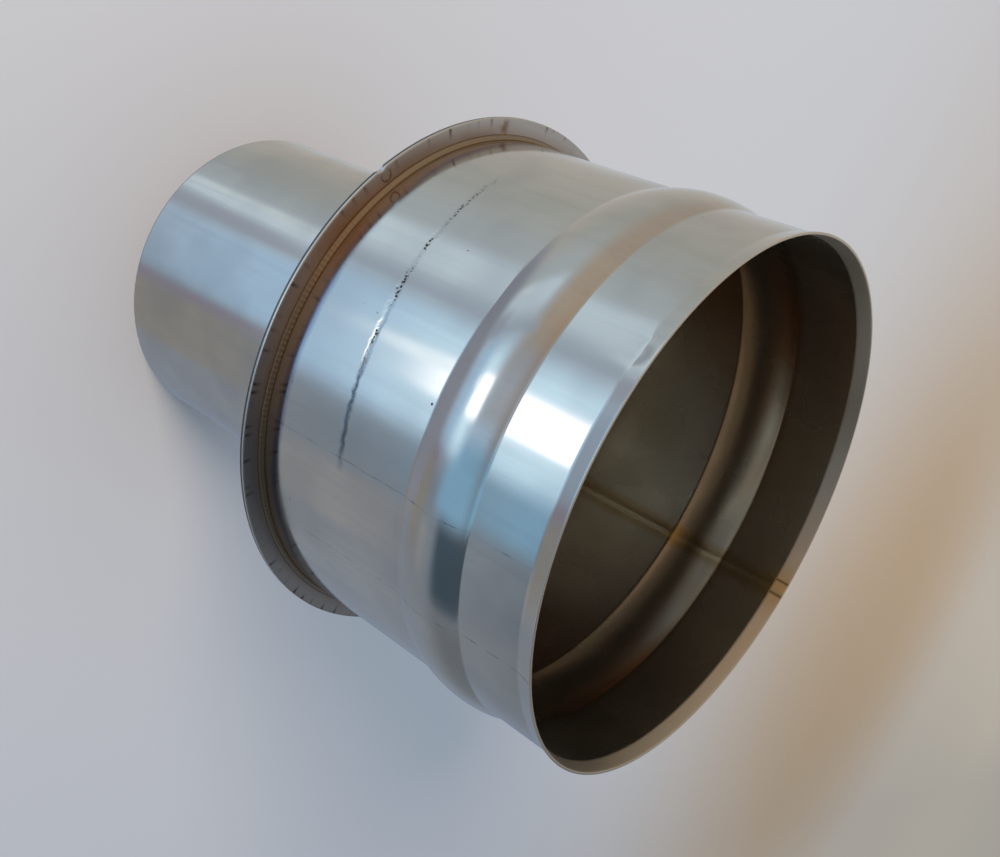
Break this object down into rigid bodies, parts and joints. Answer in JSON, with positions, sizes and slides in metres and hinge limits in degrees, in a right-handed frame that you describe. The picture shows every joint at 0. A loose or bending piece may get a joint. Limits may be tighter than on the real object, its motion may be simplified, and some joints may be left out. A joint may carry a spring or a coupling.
{
  "type": "flue pipe adapter",
  "caption": "Welded stainless flue pipe adapter: a narrow spigot tube and a wide beaded socket with a flared lip, joined by a flat flange ring.",
  "frame": {"origin": "centre of the spigot's cut end, on which the adapter stands", "axes": "+Z along the axis from the spigot's cut end to the socket's mouth, -Y towards the side that the picture shows"},
  "size_m": [0.164, 0.164, 0.1995],
  "materials": {
    "satin_steel": "satin rolled stainless sheet",
    "tinted_steel": "stainless plate with brown heat tint from welding",
    "bright_steel": "bright rolled stainless sheet",
    "weld_metal": "straw tinted weld run"
  },
  "bodies": {
    "root": {"spigot_tube": "satin_steel", "flange_plate": "tinted_steel", "socket_tube": "bright_steel", "socket_weld": "weld_metal", "spigot_weld": "weld_metal"}
  },
  "joints": []
}
